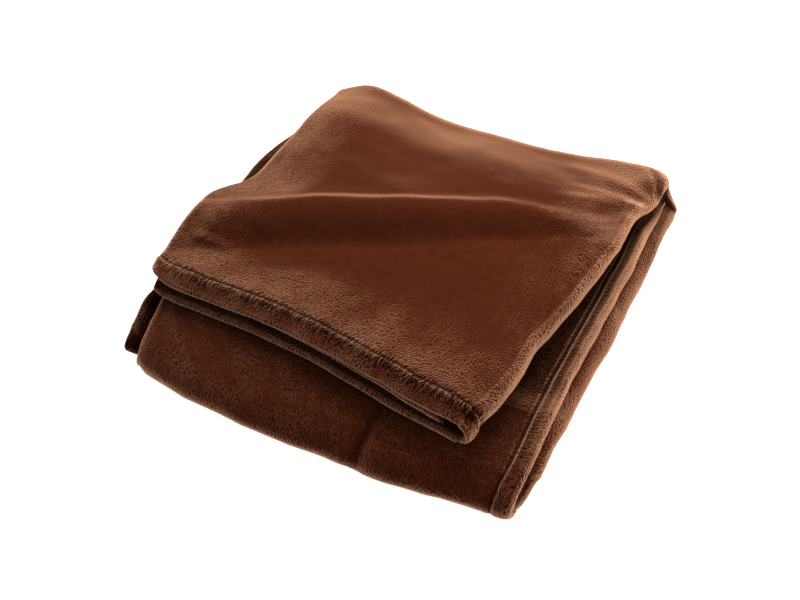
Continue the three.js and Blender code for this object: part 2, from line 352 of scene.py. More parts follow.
@dataclass(frozen=True)
class Strip:
    """The cloth after its lengthwise folds: four panels, from panel one's free edge to panel four's.

    In the outline left is the fold of panels one and two, low_left that of panels three and four,
    right is the wide turn of panels two and three, inner and outer are the free edges of panels one
    and four, and top, mid and low space the panels out, from the flap's top panel down.
    """

    hem: Hem = Hem()
    outline: Table = Table(
        ("at", "left", "low_left", "right", "inner", "outer", "top", "mid", "low"),
        (
            (0.0, -188, -184, 174, 6, 168, 3.5, 3.5, 3.5),
            (1.5, -188, -185, 177, 12, 170, 3.5, 3.5, 3.5),
            (2.6, -190, -184, 184, 20, 176, 3.5, 3.5, 3.5),
            (3.2, -190, -179, 186, 28, 183, 3.5, 3.5, 4.0),
            (3.8, -190, -177, 190, 30, 184, 3.5, 3.5, 4.0),
            (4.0, -193, -179, 192, 30, 185, 3.5, 3.5, 4.0),
            (4.08, -200, -184, 192, 30, 185, 3.5, 3.5, 4.0),
            (4.15, -196, -187, 193, 31, 185, 3.5, 3.5, 4.0),
            (4.27, -191, -188, 193.5, 31, 185, 3.5, 3.5, 4.0),
            (4.5, -204, -200, 197.5, 34, 187, 3.5, 3.5, 4.0),
            (4.65, -209, -205, 197, 35, 188, 3.5, 3.5, 3.8),
            (4.8, -211, -207, 200, 36, 189, 3.5, 3.5, 3.8),
            (4.9, -205, -201, 201, 37, 190, 3.5, 3.5, 3.8),
            (5.0, -195, -191, 201, 38, 188, 3.6, 3.6, 4.0),
            (5.12, -192, -189, 200, 38, 186, 3.8, 3.8, 4.2),
            (5.25, -190, -187, 200, 39, 183, 4.0, 4.0, 4.3),
            (5.5, -186, -183, 186, 40, 177, 4.4, 4.4, 4.4),
            (6.0, -177, -174, 186, 42, 172, 5.6, 5.2, 4.8),
            (6.1, -177, -174, 183, 44, 168, 5.8, 5.4, 5.0),
            (6.2, -177, -174, 174, 48, 164, 5.9, 5.6, 5.1),
            (6.3, -175, -172, 172, 52, 160, 6.0, 5.8, 5.2),
            (6.5, -173, -170, 162, 62, 147, 6.5, 6.2, 5.3),
            (6.56, -176, -173, 159, 67, 143, 6.7, 6.4, 5.4),
            (6.62, -189, -184, 155, 71, 139, 6.9, 6.6, 5.4),
            (6.66, -198, -191, 152, 75, 136, 7.1, 6.7, 5.5),
            (6.7, -201, -193, 149, 78, 133, 7.3, 6.9, 5.5),
            (6.8, -201, -193, 148, 87, 132, 7.8, 7.4, 5.6),
            (6.9, -201, -193, 144, 97, 133, 8.6, 8.2, 5.8),
            (7.0, -196, -193, 134, 108, 122, 9.3, 9.0, 6.2),
        ),
    )
    # Towards the front left the flap's upper panels close up, and panel one's hem lies flatter
    closes: Change = Change(6.55, 6.95)
    closed_until: tuple[float, float] = (90.0, -190.0)
    closed_share: float = 0.7
    tongue_from: tuple[float, float] = (20.0, 75.0)
    low_hem_from: tuple[float, float] = (-188.0, -168.0)

    # The wide turn of the middle run hangs over the layers below it as a soft lip
    lip_hangs: Change = Change(3.85, 4.3, 4.7, 4.98)
    lip_length: float = 21.0
    lip_flat: float = 2.0
    lip_bend: float = math.radians(84)
    lip_tip: float = 2.1
    lip_sides: float = 0.3
    lip_columns: int = 19
    fold_columns: int = 7

    # These keep the lip's bend off 0, by which it is divided
    least_bend: float = 1e-4
    least_turned: float = 1e-5

    def parts(self) -> dict[str, Array]:
        """Lists the columns of the grid, stretch by stretch.

        Returns:
            Each stretch's columns as parts of it, but the side hem's as distances from the edge.
        """
        inside_fold = np.linspace(0, 1, self.fold_columns + 2)[1:-1]

        # A panel's columns are counted, and closer together near the spots named after the count
        return {
            "one": crowded(22, ((0.0, 0.12, 5.0), (0.96, 0.09, 6.0))),
            "left": inside_fold,
            "two": crowded(60, ((0.04, 0.07, 2.5), (0.67, 0.05, 1.0), (0.95, 0.14, 1.5))),
            "lip": np.linspace(0, 1, self.lip_columns + 2)[1:-1],
            "three": crowded(30, ((0.0, 0.12, 4.0), (0.34, 0.06, 5.0), (0.96, 0.08, 4.0))),
            "low_left": inside_fold,
            "four": crowded(42, ((0.63, 0.12, 3.0), (0.0, 0.06, 2.0)))[:-1],
            "side_hem": self.hem.steps()[::-1],
        }

    def slices(self) -> dict[str, slice]:
        """Counts the columns of the grid.

        Returns:
            Which columns each stretch has.
        """
        found = {}
        first = 0
        for name, parts in self.parts().items():
            found[name] = slice(first, first + len(parts))
            first += len(parts)
        return found

    def setbacks(self) -> Array:
        """Works out how the hems are set back, evenly from panel to panel in the folds.

        Returns:
            How far each column's hem stops short of the flap's front edge.
        """
        tongue, one, two, three, four = (panel.value for panel in Setback)
        ends = {
            "one": (tongue, one),
            "left": (one, two),
            "two": (two, two),
            "lip": (two, three),
            "three": (three, three),
            "low_left": (three, four),
            "four": (four, four),
            "side_hem": (four, four),
        }
        stretches = self.parts().items()
        return np.concatenate([mix(*ends[name], np.linspace(0, 1, len(parts))) for name, parts in stretches])

    def section(self, place: Array) -> Section:
        """Works out the strip's section.

        Args:
            place: The place of each point of the grid, in rows and columns.

        Returns:
            Each point and its normal.
        """
        cuts = self.slices()
        stretches = []
        for name, parts in self.parts().items():
            at = place[:, cuts[name]]
            read = {key: self.outline.curved(key, at) for key in self.outline.names[1:]}
            make = getattr(self, name)
            stretches.append(np.broadcast_arrays(*make(at, read, parts[None, :]), at)[:4])
        return Section(*(np.concatenate(rows, axis=1) for rows in zip(*stretches)))

    def closed(self, place: Array, x: Array, h: Array) -> Array:
        """Closes up the flap's left panels.

        Args:
            place: Each point's place along the path.
            x: Each point's place across.
            h: Each point's height above the outer panel.

        Returns:
            The new heights.
        """
        low = self.outline.curved("low", place)
        share = self.closes.share(place) * smooth(*self.closed_until, x)
        return low + (h - low) * mix(1.0, self.closed_share, share)

    def left_middle(self, read: dict[str, Array]) -> Array:
        """Returns where the fold of panels one and two has its middle."""
        return read["left"] + self.hem.cloth / 2 + read["top"] / 2

    def low_left_middle(self, read: dict[str, Array]) -> Array:
        """Returns where the fold of panels three and four has its middle."""
        return read["low_left"] + self.hem.cloth / 2 + read["low"] / 2

    def lip_root(self, at: Array, read: dict[str, Array]) -> tuple[Array, ...]:
        """Works out the wide turn's own sizes.

        Args:
            at: Each point's place along the path.
            read: The outline's sizes there.

        Returns:
            Where the turn begins, its length, its bend and the radius of its tip.
        """
        hangs = self.lip_hangs.share(at)
        length = mix(self.lip_flat, self.lip_length, hangs)
        bend = np.maximum(self.lip_bend * hangs, self.least_bend)
        tip = mix((read["mid"] + read["top"]) / 2, self.lip_tip, hangs)
        root = read["right"] - self.hem.cloth / 2 - tip - length * np.sin(bend) / bend
        return root, length, bend, tip

    def one(self, at: Array, read: dict[str, Array], part: Array) -> tuple[Array, ...]:
        """Returns panel one's points and normals, from its free edge to the left."""
        x = mix(read["inner"], self.left_middle(read), part)
        return x, read["low"] + read["mid"], 0 * x, 0 * x - 1

    def left(self, at: Array, read: dict[str, Array], part: Array) -> tuple[Array, ...]:
        """Shapes the fold of panels one and two.

        Args:
            at: Each point's place along the path; not used.
            read: The outline's sizes there.
            part: Each column's part of the stretch.

        Returns:
            Each point and its normal.
        """
        nx, nh = -np.sin(np.pi * part), -np.cos(np.pi * part)
        radius = read["top"] / 2
        middle = read["low"] + read["mid"] + radius
        return self.left_middle(read) + radius * nx, middle + radius * nh, nx, nh

    def two(self, at: Array, read: dict[str, Array], part: Array) -> tuple[Array, ...]:
        """Returns panel two's points and normals, from left to right."""
        x = mix(self.left_middle(read), self.lip_root(at, read)[0], part)
        return x, read["low"] + read["mid"] + read["top"], 0 * x, 0 * x + 1

    def lip(self, at: Array, read: dict[str, Array], part: Array) -> tuple[Array, ...]:
        """Shapes the wide turn of panels two and three.

        Args:
            at: Each point's place along the path.
            read: The outline's sizes there.
            part: Each column's part of the stretch.

        Returns:
            Each point and its normal.
        """
        root, length, bend, tip = self.lip_root(at, read)
        wide = (read["mid"] + read["top"]) / 2
        along = np.clip(np.minimum(part, 1 - part) / self.lip_sides, 0.0, 1.0)
        spin = np.pi * np.clip((part - self.lip_sides) / (1 - 2 * self.lip_sides), 0.0, 1.0)
        turned = np.maximum(bend * along, self.least_turned)
        middle_x = root + length * along * np.sin(turned) / turned
        middle_h = read["low"] + wide + length * along * (1 - np.cos(turned)) / turned
        radius = mix(wide, tip, smooth(0, 1, along))
        nx = np.sin(spin) * np.cos(turned) - np.cos(spin) * np.sin(turned)
        nh = np.sin(spin) * np.sin(turned) + np.cos(spin) * np.cos(turned)
        return middle_x + radius * nx, middle_h + radius * nh, nx, nh

    def three(self, at: Array, read: dict[str, Array], part: Array) -> tuple[Array, ...]:
        """Returns panel three's points and normals, from right to left."""
        x = mix(self.lip_root(at, read)[0], self.low_left_middle(read), part)
        return x, read["low"], 0 * x, 0 * x - 1

    def low_left(self, at: Array, read: dict[str, Array], part: Array) -> tuple[Array, ...]:
        """Shapes the fold of panels three and four.

        Args:
            at: Each point's place along the path; not used.
            read: The outline's sizes there.
            part: Each column's part of the stretch.

        Returns:
            Each point and its normal.
        """
        nx, nh = -np.sin(np.pi * part), np.cos(np.pi * part)
        radius = read["low"] / 2
        return self.low_left_middle(read) + radius * nx, radius + radius * nh, -nx, -nh

    def four(self, at: Array, read: dict[str, Array], part: Array) -> tuple[Array, ...]:
        """Returns panel four's points and normals, from left to its hem."""
        x = mix(self.low_left_middle(read), read["outer"] - self.hem.steps()[-1], part)
        return x, 0 * x, 0 * x, 0 * x + 1

    def side_hem(self, at: Array, read: dict[str, Array], part: Array) -> tuple[Array, ...]:
        """Returns the points and normals of panel four's hem; part is the distance from its edge."""
        x = read["outer"] - part
        return x, 0 * x, 0 * x, 0 * x + 1


@dataclass(frozen=True)
class Ends:
    """How the front fold bows out, and the back edge is pushed out and raised at both corners."""

    # At the left of the front fold the inner panels show as a narrow leaf, behind a pocket.
    # The rim and the pocket give a distance from the left fold, a reach and a height.
    leaf_forward: float = 5.0
    leaf_shows: tuple[float, float] = (11.5, 3.5)
    leaf_heights: tuple[float, float] = (4.5, 6.0)
    leaf_rim: tuple[float, float, float] = (1.0, 8.0, 5.0)
    leaf_pocket: tuple[float, float, float] = (11.0, 7.0, -7.0)
    leaf_back: tuple[float, float] = (-95.0, -130.0)
    leaf_floor: tuple[float, float] = (0.0, 13.0)
    leaf_roof: tuple[float, float] = (46.0, 31.0)

    # The front fold is drawn out and sinks towards the front, in one long soft curve
    front_from: float = -183.5
    front_stretch: float = 1.62
    sinks: tuple[float, float] = (-118.0, 95.0)
    sinks_share: float = 0.27
    sinks_roof: tuple[float, float] = (60.0, 43.0)

    front_bends: Change = Change(2.1, 3, 4, 4.9)
    back_bends: Change = Change(4.1, 5, 6, 6.5)
    back_lifts: Change = Change(4.9, 5.5)
    front_bow: Table = Table(
        ("x", "reach"),
        (
            (-210, -22),
            (-196, -17),
            (-188, -17),
            (-178, -21),
            (-160, -13.5),
            (-130, -8),
            (-108, -4),
            (-47, 0),
            (15, 0),
            (60, -1),
            (100, -3.5),
            (137, -6.5),
            (172, -10),
            (190, -16),
            (205, -24),
        ),
    )
    back_bow: Table = Table(
        ("x", "reach", "lift"),
        (
            (-205, -30, 0),
            (-180, -3, 2),
            (-150, 15, 7),
            (-108, 10, 5),
            (-47, 2, 0),
            (15, 1, 0),
            (76, 4, 0),
            (137, 11, 3),
            (168, 9, 6),
            (185, 2, 5),
            (205, -10, 4),
        ),
    )

    def bend(self, place: Array, h: Array, from_left: Array,
             x: Array, y: Array, z: Array) -> tuple[Array, ...]:
        """Moves the points of the straight strip.

        Args:
            place: Each point's place along the path.
            h: Each point's height in the strip, above the outer panel.
            from_left: Each point's distance from the fold of panels one and two.
            x: Each point's place across.
            y: Each point's place from front to back.
            z: Each point's height.

        Returns:
            The new x, y and z.
        """
        back = self.back_bends.share(place)
        forward = self.leaf_forward * smooth(*self.leaf_shows, from_left) * smooth(*self.leaf_heights, h)
        drawn_out = (self.front_stretch - 1) * np.maximum(self.front_from - y, 0.0)
        front_reach = self.front_bow.curved("reach", x) + forward + drawn_out
        back_reach = back * self.back_bow.curved("reach", x)
        new_y = y - self.front_bends.share(place) * front_reach + back_reach

        sunk = np.clip((self.sinks[0] - new_y) / self.sinks[1], 0.0, 1.0) ** 2
        sunk = sunk * self.sinks_share * smooth(*self.sinks_roof, z)
        shapes = (self.leaf_rim, self.leaf_pocket)
        leaf = sum(height * bump(from_left - at, reach) for at, reach, height in shapes)
        leaf = leaf * smooth(*self.leaf_back, y) * smooth(*self.leaf_floor, z) * smooth(*self.leaf_roof, z)
        lift = back * self.back_lifts.share(place) * self.back_bow.curved("lift", x)
        return x, new_y, z * (1 - sunk) + lift + leaf


@dataclass(frozen=True)
class Crease:
    """A soft ridge along a line seen from above, or a trough where its height is below 0."""

    line: tuple[tuple[float, float], ...]
    width: float
    height: float

    def lift(self, x: Array, y: Array) -> Array:
        """Works out what the crease adds to the height.

        Args:
            x: Each point's place across.
            y: Each point's place from front to back.

        Returns:
            The height to add there.
        """
        away = np.full(np.shape(x), FAR_AWAY)
        for (x0, y0), (x1, y1) in zip(self.line, self.line[1:]):
            way_x, way_y = x1 - x0, y1 - y0
            along = ((x - x0) * way_x + (y - y0) * way_y) / (way_x ** 2 + way_y ** 2)
            part = np.clip(along, 0.0, 1.0)
            away = np.minimum(away, np.hypot(x - x0 - part * way_x, y - y0 - part * way_y))
        return self.height * bump(away, self.width)


@dataclass(frozen=True)
class Flap:
    """The top section: turned on the pile, pinched at its back corner and wrinkled across."""

    begins: Change = Change(5.6, 6.25)
    turns: Change = Change(6, 7)
    turn_bend: float = -70.0
    turn_softness: float = 45.0
    turn_slope: float = 0.19

    base: float = 42.0
    depth: float = 20.0
    crown_height: float = 3.6
    crown_y: float = -10.0
    crown_reach: tuple[float, float] = (180.0, 165.0)
    shoulder: tuple[float, float] = (140.0, 205.0)
    shoulder_drop: float = 3.5
    pinch: tuple[float, float] = (186.0, 160.0)
    pinch_reach: float = 34.0
    pinch_press: float = 0.34

    # The large wrinkle, crest by crest: front is how far it falls towards the front
    wrinkle: Table = Table(
        ("x", "y", "height", "front"),
        (
            (-205, -51, 11, 56),
            (-150, -26, 17, 54),
            (-100, 0, 18, 54),
            (-26, 34, 17.5, 54),
            (20, 57, 16, 52),
            (65, 80, 13, 44),
            (100, 90, 9, 34),
            (130, 100, 5, 26),
            (155, 106, 0, 24),
        ),
    )
    # Behind the crest the flap lies nearly level, and slopes down to the back edge
    behind: Table = Table(
        ("y", "share"),
        (
            (-60, 1.1),
            (40, 1.0),
            (80, 0.93),
            (118, 0.84),
            (136, 0.75),
            (165, 0.45),
            (200, 0.12),
            (230, 0.0),
        ),
    )
    wrinkle_lowest: float = 0.6
    wrinkle_nose: float = 2.4
    wrinkle_foot: float = 1.8
    wrinkle_drop: float = 0.11
    wrinkle_drop_reach: float = 11.0
    creases: tuple[Crease, ...] = (
        Crease(((-176, -80), (-150, -76)), 9, 1.8),
        Crease(((186, 152), (148, 168), (96, 172)), 13, 1.3),
        Crease(((186, 150), (150, 152), (110, 150)), 10, -1.0),
        Crease(((184, 146), (148, 136), (112, 122)), 12, 1.2),
        Crease(((180, 138), (140, 112)), 13, -0.9),
        Crease(((157, 206), (165, 203), (175, 190), (185, 168)), 5, -2.6),
        Crease(((160, 214), (169, 209), (179, 195), (187, 176)), 7, 2.0),
    )

    # The hems curl down towards the front, the top panel's the most
    curl: Table = Table(("h", "depth"), ((0, 0), (4, 0), (6.2, 5.3), (25.6, 9.5)))
    curl_begins: float = 20.0
    curl_full: float = 2.0
    left_curl_share: float = 0.45
    left_curl_until: tuple[float, float] = (-195.0, -165.0)

    # Rows of the grid follow the wrinkle's crest about the middle of the flap
    crest_row: float = 6.5
    crest_reach: float = 0.46
    crest_y: float = 34.0
    crest_follow: float = 0.8

    def row_shift(self, row: Array, x: Array) -> Array:
        """Returns how far a row is slid back along the path to follow the wrinkle's crest."""
        away = self.wrinkle.curved("y", x) - self.crest_y
        return self.crest_follow * away * bump(row - self.crest_row, self.crest_reach)

    def wrinkle_lift(self, x: Array, y: Array) -> Array:
        """Works out the wrinkle: a rounded nose in front, nearly level ground behind.

        Args:
            x: Each point's place across.
            y: Each point's place from front to back.

        Returns:
            The wrinkle's height there.
        """
        away = y - self.wrinkle.curved("y", x)
        front = np.clip(-away / self.wrinkle.curved("front", x), 0.0, 1.0)
        nose = (1 - front ** self.wrinkle_nose) ** self.wrinkle_foot
        steep = 1 - self.wrinkle_drop * (1 - bump(away, self.wrinkle_drop_reach))
        tail = steep * self.behind.curved("share", y) / self.behind.curved("share", y - away)
        return np.maximum(self.wrinkle.curved("height", x), 0.0) * np.where(away < 0, nose, tail)

    def hem_curl(self, from_front: Array, x: Array, h: Array) -> Array:
        """Works out how far the hems curl down, panel by panel.

        Args:
            from_front: Each point's distance from the flap's front.
            x: Each point's place across.
            h: Each point's height in the strip.

        Returns:
            How far each point goes down.
        """
        share = mix(self.left_curl_share, 1.0, smooth(*self.left_curl_until, x))
        depth = self.curl.straight("depth", h) * share
        return depth * smooth(self.curl_begins, self.curl_full, from_front)

    def bend(self, place: Array, x: Array, y: Array, z: Array) -> tuple[Array, ...]:
        """Moves the points of the flap; all other points stay.

        Args:
            place: Each point's place along the path.
            x: Each point's place across.
            y: Each point's place from front to back.
            z: Each point's height.

        Returns:
            The new x, y and z.
        """
        on_flap = self.begins.share(place)
        past = x - self.turn_bend
        turned = (past + np.hypot(past, self.turn_softness)) / 2
        y = y - on_flap * self.turns.share(place) * self.turn_slope * turned

        above = np.maximum(z - self.base, 0.0)
        depth = np.clip(above / self.depth, 0.0, 1.0)
        across, to_back = self.crown_reach
        crown = self.crown_height * bump(x, across) * bump(y - self.crown_y, to_back)
        shoulder = self.shoulder_drop * smooth(*self.shoulder, y)
        near_pinch = bump(np.hypot(x - self.pinch[0], y - self.pinch[1]), self.pinch_reach)
        small = sum(crease.lift(x, y) for crease in self.creases)
        raised = crown + self.wrinkle_lift(x, y) * mix(self.wrinkle_lowest, 1.0, depth)
        pressed = above * self.pinch_press * near_pinch + shoulder * depth
        return x, y, z + on_flap * (raised + small * depth - pressed)


@dataclass(frozen=True)
class Wave:
    """Uneven hills and hollows: their size, how far they move the cloth, and where the noise is read."""

    size: float
    height: float
    offset: float

    def move(self, points: Array) -> Array:
        """Returns how far each point is moved."""
        spots = points / self.size + self.offset
        return self.height * np.array([noise.noise_vector(Vector(spot)) for spot in spots])


@dataclass(frozen=True)
class FrontDent:
    """A soft upright crease in the front fold, pressed in or, below 0, pushed out."""

    x: float
    width: float
    depth: float
    low: float = -8.0
    high: float = 14.0
    front: float = -205.0
    back: float = -125.0
    top: tuple[float, float] = (4.0, 30.0)
    under_flap: tuple[float, float] = (47.0, 38.0)
    top_share: float = 0.6

    # How dark the painted shade in the crease is, and within what distance
    closes: float = 0.0
    painted_shade_width: float = 6.5

    def move(self, points: Array) -> Array:
        """Works out how far the dent moves the cloth.

        Args:
            points: The points before the waves and dents, a row each.

        Returns:
            How far each point is moved across, back and up.
        """
        x, y, z = points.T
        reach = self.depth * bump(x - self.x, self.width) * smooth(self.back, self.front, y)
        back = reach * smooth(self.low, self.high, z)
        down = reach * self.top_share * smooth(*self.top, z) * smooth(*self.under_flap, z)
        return np.stack([0 * x, back, -down], -1)

    def closed(self, points: Array) -> Array:
        """Works out the painted shade in the crease.

        Args:
            points: The finished cloth's points, centred, with x, y and z in the last axis.

        Returns:
            The share at each of them, from 0 to 1.
        """
        x, y, z = np.moveaxis(points - CENTRING, -1, 0)
        upright = smooth(self.back, self.front, y) * smooth(self.low, self.high, z)
        return self.closes * bump(x - self.x, self.painted_shade_width) * upright


@dataclass(frozen=True)
class Settling:
    """How the folded cloth has settled: small shifts that all of its layers share."""

    waves: tuple[Wave, ...] = (Wave(75, 1.9, 3.7), Wave(26, 1.1, 11.3), Wave(9, 0.35, 23.1))
    dents: tuple[FrontDent, ...] = (
        # The crease of the first dent gets a painted shade
        FrontDent(50, 13, 3.6, low=5.0, high=22.0, closes=1.0),
        FrontDent(70, 24, -1.0),
        FrontDent(126, 9, 1.0, low=0.0, high=1.0),
        FrontDent(154, 8, 1.0, low=0.0, high=1.0),
    )
    floor_grip: float = 14.0
    seed: int = 7
    rise: float = 0.5

    def bend(self, x: Array, y: Array, z: Array) -> Array:
        """Moves the points.

        Args:
            x: Each point's place across.
            y: Each point's place from front to back.
            z: Each point's height.

        Returns:
            The new points, with x, y and z in the last axis.
        """
        # Without a seed the noise takes one from the clock, and each run gives other waves
        noise.seed_set(self.seed)
        points = np.stack([x, y, z], -1)
        flat = points.reshape(-1, 3)
        shift = sum(wave.move(flat) for wave in self.waves) * (1.0, 1.0, self.rise)
        shift += sum(dent.move(flat) for dent in self.dents)
        shift[:, 2] *= smooth(0.0, self.floor_grip, flat[:, 2])
        return (flat + shift).reshape(points.shape)


@dataclass(frozen=True)
class SideRoll:
    """How the stitched side hem stands up as a soft roll along the middle run."""

    shows: Change = Change(3.3, 4.12, 4.85, 5.0)
    height: float = 3.8
    crest: float = 4.5
    reach: float = 7.5

    def lift(self, place: Array, edge: Array) -> Array:
        """Returns how far the roll stands out at a place and a distance from the edge."""
        return self.height * self.shows.share(place) * bump(edge - self.crest, self.reach)


@dataclass(frozen=True)
class Ruffling:
    """How far the pile is ruffled up: on the flap only near its hem and its sides, elsewhere all over."""

    # Where it rises: by the distance from the hem, and by the place across
    by_hem: tuple[float, float] = (100.0, 12.0)
    by_left: tuple[float, float] = (-95.0, -190.0)
    by_right: tuple[float, float] = (70.0, 165.0)
    right_share: float = 0.75
    least: float = 0.06
    in_hem: tuple[float, float] = (23.0, 16.0)
    in_hem_more: float = 0.15

    # The rest of the cloth, up to this little before the flap's first row
    before_flap: float = 0.1
    off_flap: float = 0.95

    def share(self, on_flap: Array, end: Array, x: Array) -> Array:
        """Works out how far the pile is ruffled up.

        Args:
            on_flap: Each point's row, counted from the flap's start.
            end: Its distance from the flap's hem.
            x: Its place across.

        Returns:
            A share at each point, from 0 where the pile lies smooth to 1, and a little more in the hem.
        """
        sides = np.maximum(smooth(*self.by_left, x), self.right_share * smooth(*self.by_right, x))
        flap = mix(self.least, 1.0, np.maximum(smooth(*self.by_hem, end), sides))
        flap = flap + self.in_hem_more * smooth(*self.in_hem, end)
        return np.where(on_flap > -self.before_flap, flap, self.off_flap)


@dataclass(frozen=True)
class Faces:
    """The two faces of the cloth as grids of points, with what its finish reads at each point."""

    outer: Array
    inner: Array
    rows: Array
    across: Array
    along: Array
    from_end: Array
    from_side: Array
    ruffled: Array
    # Painted shade on each face, and painted highlight and shade by the bends
    painted_shade: tuple[Array, Array]
    bend_highlight_and_shade: tuple[Array, Array]


@dataclass(frozen=True)
class Cloth:
    """The throw's one cloth, folded lengthwise into four panels and then back and forth."""

    strip: Strip = Strip()
    path: FoldPath = FoldPath()
    ends: Ends = Ends()
    flap: Flap = Flap()
    settling: Settling = Settling()
    hems_step_back: Change = Change(6.3, 7)
    side_hem_shows: Change = Change(3.1, 4.0, 4.75, 4.95)
    tongue_hem_shows: Change = Change(6.5, 6.8)
    side_roll: SideRoll = SideRoll()
    ruffling: Ruffling = Ruffling()

    # The flap's left front corner is rounded off, seen from above
    corner_back: float = 4.0
    corner_reach: float = 22.0

    # Painted shade on the inner face, by place: on the middle run under and beside the flap, a little in the
    # back turn, and inside the flap; and how near an edge it ends
    painted_shade_by_place: Table = Table(
        ("place", "share"),
        (
            (3.0, 0.0),
            (3.95, 0.0),
            (4.06, 0.2),
            (4.16, 0.6),
            (4.3, 1.0),
            (4.9, 1.0),
            (5.05, 0.3),
            (5.9, 0.3),
            (6.1, 1.0),
        ),
    )
    painted_shade_from_end: tuple[float, float] = (1.5, 5.0)
    painted_shade_from_side: tuple[float, float] = (5.0, 9.5)

    # Bends, as 1 over a radius in millimetres, at which the painted highlight (bending outwards) and the
    # painted shade (bending inwards) start and are full
    painted_highlight_bend: tuple[float, float] = (1 / 30, 1 / 9)
    painted_shade_bend: tuple[float, float] = (1 / 25, 1 / 7)
    # Less painted shade in the back turn
    back_turn: Change = Change(4.85, 5.0, 6.0, 6.15)
    back_turn_painted_shade: float = 0.25
    # A painted highlight near the pinch at the back right
    by_pinch: Change = Change(5.5, 5.8, 6.08, 6.3)
    by_pinch_from: tuple[float, float] = (50.0, 150.0)
    pinch_painted_highlight: float = 0.45

    # Keeps a length off 0, by which it is divided
    least: float = 1e-6

    # Shifts the inner face's pattern, which would repeat the outer face's
    inner_shift: float = 1000.0
    flat_size: tuple[float, float] = (1.31, 1.46)

    def place(self, row: Array) -> Array:
        """Works out where the rows of the grid meet its columns.

        Args:
            row: Each point's row.

        Returns:
            Its place, slid along the path.
        """
        x = self.strip.section(row).x
        from_left = x - self.strip.outline.curved("left", row)
        corner = self.corner_back * smooth(self.corner_reach, 0.0, from_left) ** 2
        to_hem = self.hems_step_back.share(row) * (self.strip.setbacks() + corner)
        return row - (self.flap.row_shift(row, x) + to_hem) / self.path.flap_length()

    def edges(self, row: Array, place: Array, x: Array) -> tuple[Array, ...]:
        """Measures how far each point is from the cloth's edges.

        Args:
            row: Each point's row.
            place: Each point's place along the path.
            x: Each point's place across.

        Returns:
            The distances from the flap's hem, panel four's hem, the tongue's hem and the tucked end.
        """
        cuts = self.strip.slices()
        start = self.path.flap_starts()
        end = np.where(row > start, (start + 1 - row) * self.path.flap_length(), FAR_AWAY)
        side = np.full_like(row, FAR_AWAY)
        for name in ("four", "side_hem"):
            side[:, cuts[name]] = self.strip.outline.curved("outer", place[:, cuts[name]]) - x[:, cuts[name]]
        tongue = np.full_like(row, FAR_AWAY)
        one = cuts["one"]
        tongue[:, one] = self.strip.outline.curved("inner", place[:, one]) - x[:, one]
        run = self.path.runs[0]
        tucked = np.where(row < 1, row * abs(run.end - run.start), FAR_AWAY)
        return end, side, tongue, tucked

    def faces(self) -> Faces:
        """Works out both faces of the cloth, with its hems.

        Returns:
            The grids of points, in millimetres and centred.
        """
        hem = self.strip.hem
        rows = self.path.rows(hem.steps())
        row = np.broadcast_to(rows[:, None], (len(rows), len(self.strip.setbacks())))
        place = self.place(row)
        section = self.strip.section(place)
        end, side, tongue, tucked = self.edges(row, place, section.x)

        on_side = hem.added(side) * self.side_hem_shows.share(place)
        on_end = (hem.added(end) * self.end_hem_shows(section.x)
                  + hem.added(tongue) * self.tongue_hem_shows.share(place))
        thickness = hem.cloth + np.minimum(on_end, 2 * hem.swell) + on_side
        ruffled = self.ruffling.share(row - self.path.flap_starts(), end, section.x)
        round_edges = [hem.rounding(edge, thickness) for edge in (end, side, tongue, tucked)]
        rounding = np.maximum(np.prod(round_edges, axis=0), hem.thinnest)

        curl = self.flap.hem_curl(end + self.strip.setbacks(), section.x, section.h)
        h = self.strip.closed(place, section.x, section.h) - self.side_roll.lift(place, side)
        section = replace(section, h=h)
        outer, inner = (
            self.bend(place, section, face * rounding * thickness / 2 - on_side / 2, curl)
            for face in (1, -1)
        )
        middle = (outer + inner) / 2
        # Painted shade under, beside and inside the flap
        painted_shade = self.painted_shade(place, end, side)
        # Painted highlight and shade by how each face bends
        bend_highlight_and_shade = tuple(
            self.add_highlight_and_shade(place, section.x, self.bend_highlight_and_shade(face, way * (outer - inner)), face)
            for face, way in ((outer, 1), (inner, -1))
        )
        return Faces(
            outer, inner, rows, self.lengths(middle, 1), self.lengths(middle, 0),
            end, side, ruffled, painted_shade, bend_highlight_and_shade,
        )

    def painted_shade(self, place: Array, end: Array, side: Array) -> tuple[Array, Array]:
        """Works out the painted shade: on the middle run under and beside the flap, and inside the flap's
        folds, with panel one's outer face.

        Args:
            place: Each point's place along the path.
            end: Its distance from the flap's hem.
            side: Its distance from panel four's hem.

        Returns:
            The share from 0 to 1 on the outer face and on the inner face.
        """
        within = smooth(*self.painted_shade_from_end, end)
        inner = self.painted_shade_by_place.curved("share", place) * smooth(*self.painted_shade_from_side, side) * within
        outer = np.zeros_like(place)
        one = self.strip.slices()["one"]
        outer[:, one] = within[:, one]
        return outer, inner

    def bend_highlight_and_shade(self, points: Array, outward: Array) -> Array:
        """Works out how tightly a face bends, as a painted highlight where it bends outward and a painted
        shade where it bends inward.

        Args:
            points: The face's grid.
            outward: Rough directions out of the cloth.

        Returns:
            A share at each point, up to 1 for the full painted highlight and down to -1 for the full painted
            shade.
        """
        steps = [np.gradient(points, axis=axis) for axis in (0, 1)]
        normals = unit(np.cross(steps[0], steps[1]) + self.least)
        normals *= np.sign((normals * outward).sum(-1, keepdims=True))
        bends = [
            (np.gradient(normals, axis=axis) * step).sum(-1) / ((step * step).sum(-1) + self.least)
            for axis, step in enumerate(steps)
        ]
        return smooth(*self.painted_highlight_bend, np.maximum(*bends)) - smooth(*self.painted_shade_bend, -np.minimum(*bends))

